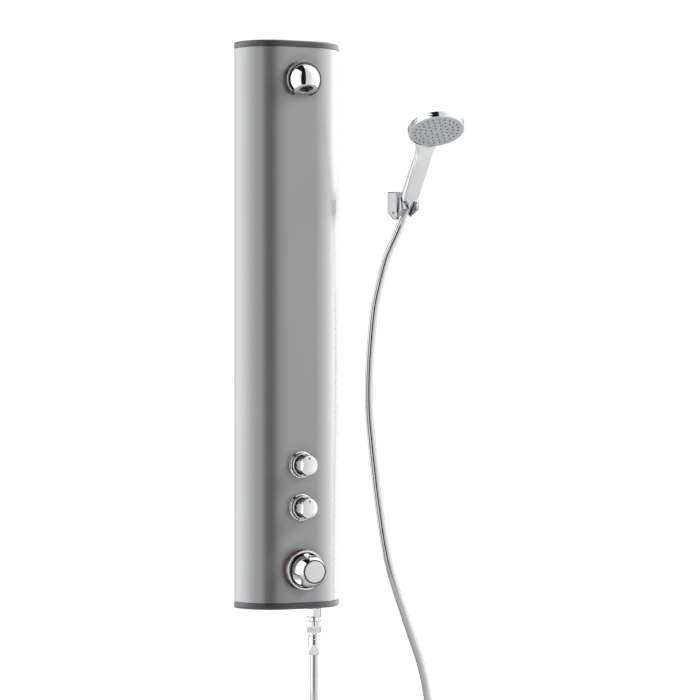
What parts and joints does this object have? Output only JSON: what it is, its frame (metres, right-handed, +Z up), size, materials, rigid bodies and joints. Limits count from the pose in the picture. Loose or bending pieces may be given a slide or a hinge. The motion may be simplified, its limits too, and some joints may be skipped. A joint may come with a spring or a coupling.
{
  "type": "thermostatic shower panel",
  "caption": "Wall-hung thermostatic shower panel with a fixed head, flow and temperature knobs, and a hand shower on a hose in a separate tilting wall holder.",
  "frame": {"origin": "on the wall plane, at the centre of the four wall-screw holes, half way up the panel", "axes": "+Z up the wall, front of the panel towards -Y, +X to the right as seen from the front"},
  "size_m": [0.3701, 0.2192, 1.3449],
  "materials": {
    "anodised_aluminium": "satin anodised",
    "cap_grey": "satin",
    "chrome": "polished",
    "satin_metal": "fine satin",
    "brass": "raw",
    "copper_tone": "drawn tube",
    "stainless": "plain",
    "white_plastic": "moulded",
    "dark_plastic": "gloss",
    "red_plastic": "gloss",
    "ring_plastic": "two-colour print, hot half red and cold half blue",
    "face_grey": "fine matt",
    "nozzle_rubber": "soft silicone",
    "hose_skin": "smooth metallic"
  },
  "bodies": {
    "panel": {"panel_casing": "anodised_aluminium", "top_cap": "cap_grey", "bottom_cap": "cap_grey", "cap_screws": "stainless", "upper_wall_bracket": "stainless", "lower_wall_bracket": "stainless", "mixer_body": "brass", "mixer_lock_nut": "brass", "thermostatic_cartridge": "white_plastic", "cartridge_nut": "brass", "hot_cold_ring": "ring_plastic", "mixer_rosette": "chrome", "hot_inlet": "brass", "cold_inlet": "brass", "check_valves": "white_plastic", "valve_block": "brass", "valve_lock_nuts": "brass", "upper_valve_cartridge": "white_plastic", "lower_valve_cartridge": "white_plastic", "upper_rosette": "chrome", "lower_rosette": "chrome", "mixed_water_pipe": "copper_tone", "riser_pipe": "copper_tone", "hose_pipe": "copper_tone", "head_elbow": "brass", "head_collar": "chrome", "head_ball": "chrome", "head_nozzle": "dark_plastic", "outlet_stub": "brass", "outlet_nut": "chrome", "coupler_body": "chrome", "coupler_spring": "stainless", "coupler_plug": "chrome", "lower_hose_nut": "chrome", "hose": "hose_skin", "holder_back_plate": "white_plastic", "holder_post": "satin_metal", "tilt_pin": "stainless"},
    "temperature_control": {"temperature_knob": "chrome", "knob_cover": "satin_metal", "cover_ring": "dark_plastic", "knob_screw": "stainless", "temperature_spindle": "brass", "button_spring": "stainless"},
    "button": {"safety_button": "red_plastic"},
    "upper_control": {"upper_knob": "chrome", "upper_index_dot": "red_plastic", "upper_spindle": "brass"},
    "lower_control": {"lower_knob": "chrome", "lower_index_dot": "red_plastic", "lower_spindle": "brass"},
    "sleeve": {"coupler_sleeve": "chrome"},
    "cradle": {"cradle": "chrome"},
    "hand_shower": {"handset_shell": "chrome", "handset_rim": "chrome", "nozzle_mat": "nozzle_rubber", "spray_face": "face_grey", "upper_hose_nut": "chrome"}
  },
  "joints": [
    {"name": "temperature_turn", "type": "hinge", "parent": "panel", "child": "temperature_control", "pos_m": [0, -0.1, -0.43], "axis": [0, -1, 0], "range_deg": [-120, 45]},
    {"name": "safety_button_press", "type": "slide", "parent": "temperature_control", "child": "button", "axis": [0, 0, -1], "range_m": [0, 0.0015], "stiffness_N_per_m": 700, "deforming": ["button_spring"]},
    {"name": "upper_flow_turn", "type": "hinge", "parent": "panel", "child": "upper_control", "pos_m": [0, -0.09, -0.246], "axis": [0, -1, 0], "range_deg": [0, 90]},
    {"name": "lower_flow_turn", "type": "hinge", "parent": "panel", "child": "lower_control", "pos_m": [0, -0.09, -0.321], "axis": [0, -1, 0], "range_deg": [0, 90]},
    {"name": "coupling_release", "type": "slide", "parent": "panel", "child": "sleeve", "axis": [0, 0, 1], "range_m": [0, 0.004], "stiffness_N_per_m": 1500, "deforming": ["coupler_spring"]},
    {"name": "cradle_tilt", "type": "hinge", "parent": "panel", "child": "cradle", "pos_m": [0.216, -0.016, 0.204], "axis": [1, 0, 0], "range_deg": [-12, 20], "deforming": ["hose"]},
    {"name": "hand_shower_lift", "type": "slide", "parent": "cradle", "child": "hand_shower", "axis": [0, -0.6129, 0.7902], "range_m": [0, 0.038], "deforming": ["hose"]}
  ]
}
